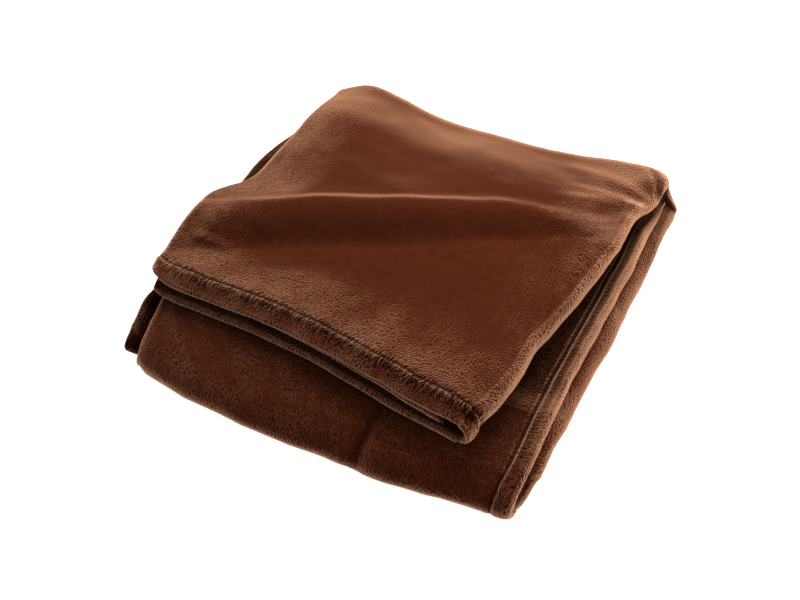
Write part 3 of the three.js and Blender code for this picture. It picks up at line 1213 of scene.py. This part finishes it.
    def add_highlight_and_shade(self, place: Array, x: Array, bend_highlight_and_shade: Array, face: Array) -> Array:
        """Adds to the painted highlight and shade of a face's bends a painted highlight by the pinch and a
        painted shade in the front fold's crease, and eases the painted shade in the back turn.

        Args:
            place: Each point's place along the path.
            x: Each point's place across.
            bend_highlight_and_shade: The painted highlight and shade by how tightly the face bends there.
            face: The face's points.

        Returns:
            A share at each point, up to 1 for the full painted highlight and down to -1 for the full painted
            shade.
        """
        kept = mix(1.0, self.back_turn_painted_shade, self.back_turn.share(place))
        # Painted highlight near the pinch
        brushed = self.pinch_painted_highlight * self.by_pinch.share(place) * smooth(*self.by_pinch_from, x)
        # Painted shade in the front fold's crease
        crease_shade = sum(dent.closed(face) for dent in self.settling.dents)
        return np.clip(np.maximum(bend_highlight_and_shade, bend_highlight_and_shade * kept) + brushed - crease_shade, -1.0, 1.0)

    def end_hem_shows(self, x: Array) -> Array:
        """Works out how thick the end hem is, which is flattened in the folds and on panel four.

        Args:
            x: Each point's place across.

        Returns:
            A share at each point, up to 1 for the full hem.
        """
        shows = np.ones_like(x)
        cuts = self.strip.slices()
        shows[:, cuts["one"]] = smooth(*self.strip.tongue_from, x[:, cuts["one"]])
        shows[:, cuts["left"]] = np.linspace(0.0, 1.0, cuts["left"].stop - cuts["left"].start)
        shows[:, cuts["three"]] = smooth(*self.strip.low_hem_from, x[:, cuts["three"]])
        shows[:, cuts["low_left"].start:] = 0.0
        return shows

    def bend(self, place: Array, section: Section, offset: Array, curl: Array) -> Array:
        """Carries the section along the path and bends it into the throw's own uneven shape.

        Args:
            place: Each point's place along the path.
            section: The section at each point.
            offset: How far each point lies off the cloth's middle.
            curl: How far each point is curled down with the flap's hem.

        Returns:
            The points, in millimetres and centred.
        """
        y, z, ny, nz = self.path.at(place)
        x = section.x + section.nx * offset
        h = section.h + section.nh * offset
        from_left = section.x - self.strip.outline.curved("left", place)
        x, y, z = self.ends.bend(place, section.h, from_left, x, y + ny * h, z + nz * h - curl)
        x, y, z = self.flap.bend(place, x, y, z)
        return self.settling.bend(x, y, z) + CENTRING

    def lengths(self, points: Array, axis: int) -> Array:
        """Measures the cloth along an axis of the grid.

        Args:
            points: The grid.
            axis: 0 along the path, 1 across it.

        Returns:
            The length of cloth from the grid's first line to each point.
        """
        steps = np.linalg.norm(np.diff(points, axis=axis), axis=-1)
        start = np.zeros_like(np.take(steps, [0], axis=axis))
        return np.concatenate([start, np.cumsum(steps, axis=axis)], axis=axis)

    def quads(self, row_count: int, column_count: int) -> Array:
        """Lists the faces of the closed cloth: both grids, joined along all four edges.

        Args:
            row_count: Rows of each grid.
            column_count: Columns of each grid.

        Returns:
            The corners of each face, the outer grid's points counted before the inner grid's.
        """
        outer = np.arange(row_count * column_count).reshape(row_count, column_count)
        inner = outer + row_count * column_count
        strips = (
            (outer[:-1, :-1], outer[1:, :-1], outer[1:, 1:], outer[:-1, 1:]),
            (inner[:-1, :-1], inner[:-1, 1:], inner[1:, 1:], inner[1:, :-1]),
            (outer[:-1, 0], inner[:-1, 0], inner[1:, 0], outer[1:, 0]),
            (outer[:-1, -1], outer[1:, -1], inner[1:, -1], inner[:-1, -1]),
            (outer[0, :-1], outer[0, 1:], inner[0, 1:], inner[0, :-1]),
            (outer[-1, :-1], inner[-1, :-1], inner[-1, 1:], outer[-1, 1:]),
        )
        return np.concatenate([np.stack(corners, -1).reshape(-1, 4) for corners in strips])

    def build(self, faces: Faces) -> bpy.types.Object:
        """Makes the cloth's object, with the attributes that its finish reads.

        Args:
            faces: The two faces of the cloth.

        Returns:
            The object, at the origin.
        """
        points = np.concatenate([faces.outer.reshape(-1, 3), faces.inner.reshape(-1, 3)])
        obj = mesh_object("throw_cloth", points, self.quads(*faces.across.shape).tolist())
        level = 0 * faces.along
        sides = [
            np.stack([faces.across + side * self.inner_shift, faces.along, level], -1).reshape(-1, 3)
            for side in (0, 1)
        ]
        write_vectors(obj, ClothReads.NAP.value, np.concatenate(sides))
        seams = np.stack([faces.from_end, faces.from_side, faces.ruffled], -1).reshape(-1, 3)
        write_vectors(obj, ClothReads.SEAMS.value, np.concatenate([seams, seams]))
        pile = [np.stack([painted_shade, bend_highlight_and_shade, 0 * bend_highlight_and_shade], -1).reshape(-1, 3)
                for painted_shade, bend_highlight_and_shade in zip(faces.painted_shade, faces.bend_highlight_and_shade)]
        write_vectors(obj, ClothReads.PAINTED_LIGHT_AND_SHADE.value, np.concatenate(pile))
        return obj


class ClothReads(Enum):
    """Attributes of the cloth that its finish reads."""

    # Lengths across and along the cloth
    NAP = "nap"

    # Distances from the flap's hem and the side hem, and how far the pile is ruffled up
    SEAMS = "seams"

    # The painted shade, and by the bends a painted highlight above 0 and a painted shade below 0
    PAINTED_LIGHT_AND_SHADE = "pile"


def mesh_object(name: str, points: Array, faces: list[list[int]]) -> bpy.types.Object:
    """Makes a smooth mesh object.

    Args:
        name: The object's name.
        points: Its points, in millimetres.
        faces: The corners of each face.

    Returns:
        The object, in metres and at the origin.
    """
    mesh = bpy.data.meshes.new(name)
    mesh.from_pydata((points * MM).tolist(), [], faces)
    mesh.polygons.foreach_set("use_smooth", [True] * len(mesh.polygons))
    mesh.update()
    obj = bpy.data.objects.new(name, mesh)
    bpy.context.scene.collection.objects.link(obj)
    return obj


def write_vectors(obj: bpy.types.Object, name: str, vectors: Array) -> None:
    """Writes a vector for each point of a mesh as an attribute.

    Args:
        obj: The mesh's object.
        name: The attribute's name.
        vectors: A row of three numbers for each point.
    """
    attribute = obj.data.attributes.new(name, "FLOAT_VECTOR", "POINT")
    attribute.data.foreach_set("vector", vectors.astype(np.float32).ravel())


@dataclass(frozen=True)
class Stitches:
    """The sewing thread that holds the visible hems, as short stitches in the seams' furrows."""

    spacing: float = 4.3
    length: float = 3.1
    radius: float = 0.33
    arch: float = 0.3
    sunk: float = 0.2
    sides: int = 6
    stations: int = 5
    end_taper: float = 0.94
    side_seam_shows: tuple[float, float] = (3.85, 4.9)

    def seams(self, cloth: Cloth, faces: Faces) -> list[tuple[Array, Array]]:
        """Finds the two visible seams on the cloth.

        Args:
            cloth: The cloth.
            faces: Its two faces.

        Returns:
            Each seam's line and the directions out of the cloth along it.
        """
        hem = cloth.strip.hem
        cuts = cloth.strip.slices()
        end_row = int(np.argmin(np.abs(faces.from_end[:, 0] - hem.width)))
        column = cuts["side_hem"].start + int(np.argmin(np.abs(cloth.strip.parts()["side_hem"] - hem.width)))
        first, last = (int(np.searchsorted(faces.rows, place)) for place in self.side_seam_shows)
        outward = unit(faces.outer - faces.inner)
        top = (end_row, cuts["two"])
        side = (slice(first, last), column)
        return [(faces.outer[top], outward[top]), (faces.inner[side], -outward[side])]

    def build(self, cloth: Cloth, faces: Faces) -> bpy.types.Object:
        """Makes all the stitches as one object.

        Args:
            cloth: The cloth.
            faces: Its two faces.

        Returns:
            The object, at the origin.
        """
        points: list[Array] = []
        quads: list[list[int]] = []
        for line, outward in self.seams(cloth, faces):
            run = np.concatenate([[0.0], np.cumsum(np.linalg.norm(np.diff(line, axis=0), axis=1))])
            for start in np.arange(self.spacing, run[-1] - self.spacing, self.spacing):
                at = start + np.linspace(0.0, self.length, self.stations)
                spine, up = (
                    np.stack([np.interp(at, run, each) for each in way.T], -1) for way in (line, outward)
                )
                quads.extend(self.shell(len(points) * self.stations * self.sides))
                points.append(self.stitch(spine, unit(up)))
        return mesh_object("hem_stitches", np.concatenate(points).reshape(-1, 3), quads)

    def stitch(self, spine: Array, up: Array) -> Array:
        """Shapes one stitch around its spine.

        Args:
            spine: Points along the stitch.
            up: The direction out of the cloth at each.

        Returns:
            Its points, a ring for each point of the spine.
        """
        part = np.linspace(-1.0, 1.0, self.stations)[:, None]
        forward = unit(np.gradient(spine, axis=0))
        aside = unit(np.cross(forward, up))
        arched = spine + up * (self.arch * (1 - part ** 2) - self.sunk)
        radius = self.radius * np.sqrt(np.maximum(1 - (self.end_taper * part) ** 2, 0.0))
        turns = 2 * np.pi * np.arange(self.sides) / self.sides
        ring = np.cos(turns)[None, :, None] * aside[:, None] + np.sin(turns)[None, :, None] * up[:, None]
        return arched[:, None] + radius[:, None] * ring

    def shell(self, first: int) -> list[list[int]]:
        """Lists the faces of one stitch.

        Args:
            first: The number of its first point.

        Returns:
            The corners of each face.
        """
        ring = first + np.arange(self.stations * self.sides).reshape(self.stations, self.sides)
        following = np.roll(ring, -1, axis=1)
        sides = np.stack([ring[:-1], following[:-1], following[1:], ring[1:]], -1).reshape(-1, 4)
        return sides.tolist() + [ring[0][::-1].tolist(), ring[-1].tolist()]


class Signal:
    """A value in a material's nodes, on which arithmetic adds Math nodes."""

    def __init__(self, board: "Board", socket: bpy.types.NodeSocket) -> None:
        """Wraps a socket.

        Args:
            board: The material's nodes.
            socket: The socket that gives the value.
        """
        self.board = board
        self.socket = socket

    def __add__(self, other: "Signal | float") -> "Signal":
        """Returns the sum."""
        return self.board.math("ADD", self, other)

    def __radd__(self, other: float) -> "Signal":
        """Returns the sum with a number on the left."""
        return self.board.math("ADD", other, self)

    def __sub__(self, other: "Signal | float") -> "Signal":
        """Returns the difference."""
        return self.board.math("SUBTRACT", self, other)

    def __rsub__(self, other: float) -> "Signal":
        """Returns the difference from a number on the left."""
        return self.board.math("SUBTRACT", other, self)

    def __mul__(self, other: "Signal | float") -> "Signal":
        """Returns the product."""
        return self.board.math("MULTIPLY", self, other)

    def __rmul__(self, other: float) -> "Signal":
        """Returns the product with a number on the left."""
        return self.board.math("MULTIPLY", other, self)

    def __abs__(self) -> "Signal":
        """Returns the value without its sign."""
        return self.board.math("ABSOLUTE", self, 0.0)

    def share(self, low: float, high: float) -> "Signal":
        """Returns 0 at low and below, rising smoothly to 1 at high and above."""
        values = {"Value": self, "From Min": low, "From Max": high}
        return self.board.node("ShaderNodeMapRange", {"interpolation_type": "SMOOTHSTEP"}, values)


class Board:
    """The nodes of one material."""

    def __init__(self, name: str) -> None:
        """Makes an empty material.

        Args:
            name: The material's name.
        """
        self.material = bpy.data.materials.new(name)
        self.material.use_nodes = True
        self.tree = self.material.node_tree
        self.tree.nodes.clear()

    def node(self, kind: str, settings: dict[str, Any], values: dict[str | int, Any],
             output: str | int = 0) -> Signal:
        """Adds a node.

        Args:
            kind: The node's type.
            settings: Its own settings, set before its sockets.
            values: For each socket its value, or the signal that feeds it.
            output: Which output to give back.

        Returns:
            The node's output.
        """
        node = self.tree.nodes.new(kind)
        for name, setting in settings.items():
            setattr(node, name, setting)
        for name, value in values.items():
            if isinstance(value, Signal):
                self.tree.links.new(value.socket, node.inputs[name])
            else:
                node.inputs[name].default_value = value
        return Signal(self, node.outputs[output])

    def math(self, operation: str, first: Signal | float, second: Signal | float) -> Signal:
        """Returns the result of a Math node."""
        return self.node("ShaderNodeMath", {"operation": operation}, {0: first, 1: second})

    def attribute(self, name: str) -> Signal:
        """Returns a vector attribute of the mesh."""
        return self.node("ShaderNodeAttribute", {"attribute_name": name}, {}, "Vector")

    def parts(self, vector: Signal) -> tuple[Signal, ...]:
        """Returns the three parts of a vector."""
        return tuple(self.node("ShaderNodeSeparateXYZ", {}, {0: vector}, axis) for axis in range(3))

    def scaled(self, vector: Signal, size: Colour) -> Signal:
        """Returns a vector divided by a size on each axis."""
        return self.node("ShaderNodeVectorMath", {"operation": "DIVIDE"}, {0: vector, 1: size})

    def noise(self, vector: Signal, detail: float = 2.0) -> Signal:
        """Returns a noise of size 1 at a vector."""
        values = {"Vector": vector, "Scale": 1.0, "Detail": detail}
        return self.node("ShaderNodeTexNoise", {"noise_dimensions": "3D"}, values)

    def blend(self, share: Signal, start: Any, end: Any) -> Signal:
        """Mixes two colours.

        Args:
            share: How far from start to end.
            start: A colour, or the signal that gives it.
            end: The other colour, or its signal.

        Returns:
            The mixed colour.
        """
        # Sockets 6 and 7 of the Mix node take its colours, and its third output gives the mix
        settings = {"data_type": "RGBA", "clamp_factor": True}
        wide = [value if isinstance(value, Signal) else (*value, 1.0) for value in (start, end)]
        return self.node("ShaderNodeMix", settings, {0: share, 6: wide[0], 7: wide[1]}, 2)

    def finish(self, shader: Signal) -> bpy.types.Material:
        """Completes the material.

        Args:
            shader: The signal that feeds the material's output.

        Returns:
            The material.
        """
        surface = self.tree.nodes.new("ShaderNodeOutputMaterial").inputs["Surface"]
        self.tree.links.new(shader.socket, surface)
        return self.material


@dataclass(frozen=True)
class FlannelFinish:
    """Brushed flannel with a short plush pile, in tufts that run along the cloth, with painted sheen,
    highlight and shade; sizes in millimetres.
    """

    # The pile's pits, its body and its tips, and darker copies of the pits and the body for the painted
    # shade
    deep: Colour = (0.012, 0.0022, 0.0009)
    brown: Colour = (0.098, 0.0207, 0.0080)
    tip: Colour = (0.15, 0.043, 0.018)
    deep_in_painted_shade: Colour = (0.008, 0.0012, 0.0005)
    brown_in_painted_shade: Colour = (0.022, 0.0036, 0.0013)
    tip_shows: tuple[float, float] = (0.15, 0.4)
    tip_lost_in_painted_shade: float = 0.9
    # Painted shade in the seam's puckers: fewer light tips in their troughs
    painted_shade_in_puckers: float = 0.8

    # Painted sheen where the pile is seen at a slant, painted highlight where the cloth bends outwards, and
    # painted shade where it bends inwards
    painted_sheen: Colour = (0.50, 0.25, 0.146)
    painted_sheen_shows: tuple[float, float] = (0.375, 1.06)
    painted_sheen_kept: float = 0.35
    painted_highlight: Colour = (0.52, 0.27, 0.155)
    painted_highlight_shows: float = 0.9
    painted_highlight_slant: tuple[float, float] = (0.22, 0.58)
    painted_highlight_pile: float = 0.5
    painted_shade_shows: float = 0.7
    facing: float = 0.5

    # The pile's height: half way where it lies smooth, with ribs and flecks where it is ruffled
    level: float = 0.5
    rib: float = 3.4
    rib_waver: Colour = (9.0, 7.0, 9.0)
    rib_shift: float = 6.0
    waver_middle: float = 0.5
    rib_edges: tuple[float, float] = (-0.7, 0.9)
    rib_share: float = 0.22
    fleck: Colour = (1.3, 2.7, 1.3)
    fleck_edges: tuple[float, float] = (0.38, 0.6)
    brushed: Colour = (30.0, 42.0, 30.0)
    brushed_edges: tuple[float, float] = (0.32, 0.68)
    brushed_least: float = 0.5
    lay: Colour = (7.0, 12.0, 7.0)
    lay_edges: tuple[float, float] = (0.32, 0.72)

    # The noise's detail: finer for the brushed patches and the lay, plain for the puckers
    fine_detail: float = 3.0
    plain_detail: float = 1.0

    # The puckers that a seam draws across its hem: narrow along the seam, long across it
    pucker: tuple[float, float] = (2.9, 9.0)
    pucker_edges: tuple[float, float] = (0.42, 0.56)
    pucker_reach: tuple[float, float] = (2.5, 9.5)
    pucker_inward: float = 3.5
    pucker_depth: tuple[float, float] = (1.0, 0.3)
    pucker_shows: float = 0.8

    relief: float = 0.85
    relief_shows: float = 0.8
    roughness: float = 0.9
    specular: float = 0.0
    sheen: float = 0.25
    sheen_roughness: float = 0.35
    sheen_tint: Colour = (1.0, 0.5, 0.26)

    def material(self, hem: Hem) -> bpy.types.Material:
        """Makes the finish.

        Args:
            hem: The hem, whose seam draws the cloth in.

        Returns:
            The material.
        """
        board = Board("brown_flannel")
        nap = board.attribute(ClothReads.NAP.value)
        from_end, from_side, ruffled = board.parts(board.attribute(ClothReads.SEAMS.value))
        painted_shade, bend_highlight_and_shade, _ = board.parts(board.attribute(ClothReads.PAINTED_LIGHT_AND_SHADE.value))

        patches = board.noise(board.scaled(nap, self.brushed), self.fine_detail).share(*self.brushed_edges)
        grain_shows = ruffled * (self.brushed_least + (1 - self.brushed_least) * patches)
        flecks = board.noise(board.scaled(nap, self.fleck)).share(*self.fleck_edges)
        grain = self.ribs(board, nap) * self.rib_share + flecks * (1 - self.rib_share)
        puckers = self.puckers(board, nap, hem, (from_end, from_side))
        pile = self.level + (grain - self.level) * grain_shows + puckers * self.pucker_shows

        body = self.body(board, nap, painted_shade, pile, grain_shows, puckers)
        normal = board.node("ShaderNodeBump", {}, {
            "Strength": self.relief_shows, "Distance": self.relief * MM, "Height": pile,
        })
        return board.finish(board.node("ShaderNodeBsdfPrincipled", {}, {
            "Base Color": self.lit(board, body, normal, painted_shade, bend_highlight_and_shade, pile),
            "Roughness": self.roughness,
            "Specular IOR Level": self.specular,
            "Sheen Weight": self.sheen,
            "Sheen Roughness": self.sheen_roughness,
            "Sheen Tint": (*self.sheen_tint, 1.0),
            "Normal": normal,
        }))

    def body(self, board: Board, nap: Signal, painted_shade: Signal, pile: Signal,
             grain_shows: Signal, puckers: Signal) -> Signal:
        """Colours the pile as it is seen head-on, with the painted shade under, beside and inside the flap.

        Args:
            board: The material's nodes.
            nap: The lengths across and along the cloth.
            painted_shade: How far the pile is darkened as painted shade.
            pile: Its height.
            grain_shows: How far its grain shows.
            puckers: The hems' puckers.

        Returns:
            The colour.
        """
        lain = board.noise(board.scaled(nap, self.lay), self.fine_detail).share(*self.lay_edges)
        # Painted shade: the pits and the body darker under, beside and inside the flap
        deep = board.blend(painted_shade, self.deep, self.deep_in_painted_shade)
        brown = board.blend(painted_shade, self.brown, self.brown_in_painted_shade)
        least, more = self.tip_shows
        tips = lain * pile * (least + more * grain_shows)
        # Fewer light tips in the painted shade and, as painted shade, in the puckers' troughs
        tips = tips * (1.0 - self.tip_lost_in_painted_shade * painted_shade) * (1.0 + self.painted_shade_in_puckers * puckers)
        return board.blend(tips, board.blend(pile, deep, brown), self.tip)

    def lit(self, board: Board, body: Signal, normal: Signal, painted_shade: Signal,
            bend_highlight_and_shade: Signal, pile: Signal) -> Signal:
        """Lightens the pile as painted sheen where it is seen at a slant and as painted highlight where the
        cloth bends outwards, and darkens it as painted shade where it bends inwards.

        Args:
            board: The material's nodes.
            body: The colour head-on.
            normal: The surface's direction.
            painted_shade: How far the pile is darkened as painted shade.
            bend_highlight_and_shade: The painted highlight above 0, the painted shade below 0.
            pile: Its height.

        Returns:
            The colour.
        """
        slant = board.node("ShaderNodeLayerWeight", {}, {"Blend": self.facing, "Normal": normal}, "Facing")
        # Painted highlight where the cloth bends outwards, seen at a slant
        painted_highlight_share = bend_highlight_and_shade.share(0.0, 1.0) * (self.painted_highlight_pile + (1 - self.painted_highlight_pile) * pile)
        painted_highlight_share = painted_highlight_share * slant.share(*self.painted_highlight_slant)
        # Painted shade where the cloth bends inwards, in the pits' colour
        closed = bend_highlight_and_shade.share(0.0, -1.0) * self.painted_shade_shows
        body = board.blend(painted_highlight_share * self.painted_highlight_shows, body, self.painted_highlight)
        body = board.blend(closed, body, self.deep)
        # Painted sheen where the pile is seen at a slant, less in the painted shade and in inward bends
        painted_sheen_shows = slant.share(*self.painted_sheen_shows) * (1.0 - (1 - self.painted_sheen_kept) * painted_shade) * (1.0 - closed)
        return board.blend(painted_sheen_shows, body, self.painted_sheen)

    def ribs(self, board: Board, nap: Signal) -> Signal:
        """Draws the knit's fine wavy ribs, which run along the cloth.

        Args:
            board: The material's nodes.
            nap: The lengths across and along the cloth.

        Returns:
            Their height, from 0 to 1.
        """
        across = board.parts(nap)[0]
        waver = board.noise(board.scaled(nap, self.rib_waver)) - self.waver_middle
        turn = (across + waver * self.rib_shift) * (2 * math.pi / self.rib)
        return board.math("SINE", turn, 0.0).share(*self.rib_edges)

    def puckers(self, board: Board, nap: Signal, hem: Hem, edges: tuple[Signal, Signal]) -> Signal:
        """Draws the small puckers that the seams make across the hems; their troughs also darken the colour
        as painted shade.

        Args:
            board: The material's nodes.
            nap: The lengths across and along the cloth.
            hem: The hem.
            edges: The distances from the flap's hem and from the side hem.

        Returns:
            Their height, from 0 down to -1.
        """
        found = []
        narrow, long = self.pucker
        sizes = ((narrow, long, 1.0), (long, narrow, 1.0))
        for edge, size, depth in zip(edges, sizes, self.pucker_depth):
            near = 1.0 - abs(edge - (hem.width - self.pucker_inward)).share(*self.pucker_reach)
            drawn = board.noise(board.scaled(nap, size), self.plain_detail).share(*self.pucker_edges)
            found.append(near * drawn * depth)
        return 0.0 - (found[0] + found[1])


@dataclass(frozen=True)
class ThreadFinish:
    """Brown sewing thread, a little lighter than the cloth's pits and slightly shiny."""

    shade: Colour = (0.020, 0.006, 0.003)
    light: Colour = (0.10, 0.034, 0.016)
    twist: float = 0.9
    twist_edges: tuple[float, float] = (0.35, 0.65)
    twist_detail: float = 1.0
    roughness: float = 0.7
    specular: float = 0.1

    def material(self) -> bpy.types.Material:
        """Makes the finish: thread whose twist shows as light and dark turns.

        Returns:
            The material.
        """
        board = Board("sewing_thread")
        where = board.node("ShaderNodeTexCoord", {}, {}, "Object")
        size = (self.twist * MM,) * 3
        turns = board.noise(board.scaled(where, size), self.twist_detail).share(*self.twist_edges)
        return board.finish(board.node("ShaderNodeBsdfPrincipled", {}, {
            "Base Color": board.blend(turns, self.shade, self.light),
            "Roughness": self.roughness,
            "Specular IOR Level": self.specular,
        }))


@dataclass(frozen=True)
class Lamp:
    """A soft square lamp aimed at the throw; metres and watts."""

    name: str
    place: tuple[float, float, float]
    size: float
    power: float
    colour: Colour = (1.0, 1.0, 1.0)

    def build(self, aim: Vector) -> bpy.types.Object:
        """Makes the lamp.

        Args:
            aim: The point that it shines on.

        Returns:
            The lamp's object.
        """
        data = bpy.data.lights.new(self.name, "AREA")
        data.size = self.size
        data.energy = self.power
        data.color = self.colour
        lamp = bpy.data.objects.new(self.name, data)
        lamp.location = self.place
        lamp.rotation_euler = (Vector(self.place) - aim).to_track_quat("Z", "Y").to_euler()
        bpy.context.scene.collection.objects.link(lamp)
        return lamp


@dataclass(frozen=True)
class Studio:
    """A plain pale floor, a white surround, soft lamps, and the camera at the photo's angle."""

    floor_size: float = 60.0
    floor_drop: float = 0.2
    floor_shade: Colour = (0.5, 0.5, 0.5)
    floor_roughness: float = 0.9
    floor_specular: float = 0.1
    floor_glow: float = 0.92
    surround: float = 0.36
    lamps: tuple[Lamp, ...] = (
        Lamp("key", (-0.3, 1.3, 1.25), 1.2, 58.0, (1.0, 0.97, 0.93)),
        Lamp("kicker", (1.6, 0.6, 0.4), 0.8, 22.0, (1.0, 0.96, 0.92)),
    )
    azimuth: float = 25.8
    elevation: float = 44.5
    distance: float = 1.053
    look_at: tuple[float, float, float] = (-0.0037, -0.0139, 0.0)
    lens: float = 50.0

    def floor(self) -> bpy.types.Object:
        """Makes the floor, a square sheet just under the throw.

        Returns:
            The floor's object.
        """
        half = self.floor_size / MM / 2
        around = ((-half, -half), (half, -half), (half, half), (-half, half))
        corners = np.array([(x, y, -self.floor_drop) for x, y in around])
        floor = mesh_object("floor", corners, [[0, 1, 2, 3]])
        board = Board("pale_floor")
        floor.data.materials.append(board.finish(board.node("ShaderNodeBsdfPrincipled", {}, {
            "Base Color": (*self.floor_shade, 1.0),
            "Roughness": self.floor_roughness,
            "Specular IOR Level": self.floor_specular,
            "Emission Color": (1.0, 1.0, 1.0, 1.0),
            "Emission Strength": self.floor_glow,
        })))
        return floor

    def surroundings(self) -> None:
        """Fills the surround with even white light."""
        world = bpy.data.worlds.new("studio")
        world.use_nodes = True
        background = world.node_tree.nodes["Background"]
        background.inputs["Color"].default_value = (1.0, 1.0, 1.0, 1.0)
        background.inputs["Strength"].default_value = self.surround
        bpy.context.scene.world = world
        bpy.context.scene.view_settings.view_transform = "Standard"

    def camera(self) -> bpy.types.Object:
        """Makes the camera, and makes it the scene's own.

        Returns:
            The camera's object.
        """
        turn, rise = math.radians(self.azimuth), math.radians(self.elevation)
        back = Vector((math.sin(turn) * math.cos(rise), -math.cos(turn) * math.cos(rise), math.sin(rise)))
        data = bpy.data.cameras.new("camera")
        data.lens = self.lens
        camera = bpy.data.objects.new("camera", data)
        camera.location = Vector(self.look_at) + back * self.distance
        camera.rotation_euler = back.to_track_quat("Z", "Y").to_euler()
        bpy.context.scene.collection.objects.link(camera)
        bpy.context.scene.camera = camera
        return camera

    def build(self) -> None:
        """Makes the floor, the light and the camera."""
        self.floor()
        self.surroundings()
        for lamp in self.lamps:
            lamp.build(Vector(self.look_at))
        self.camera()


def main() -> None:
    """Builds the studio, the cloth and its stitches in order, and reports each."""
    logging.basicConfig(level=logging.INFO, format="%(name)s: %(message)s")
    Studio().build()
    LOG.info("studio with floor, lamps and camera")

    cloth = Cloth()
    faces = cloth.faces()
    throw = cloth.build(faces)
    throw.data.materials.append(FlannelFinish().material(cloth.strip.hem))
    LOG.info("cloth with %d points, rows of %.0f mm and columns of %.0f mm on average",
             len(throw.data.vertices), faces.across[:, -1].mean(), faces.along[-1].mean())

    stitches = Stitches().build(cloth, faces)
    stitches.data.materials.append(ThreadFinish().material())
    LOG.info("stitches with %d points", len(stitches.data.vertices))

    for piece in (throw, stitches):
        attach(piece, ROOT)
    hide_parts(NODE)
    bpy.context.view_layer.update()


if __name__ == "__main__":
    main()
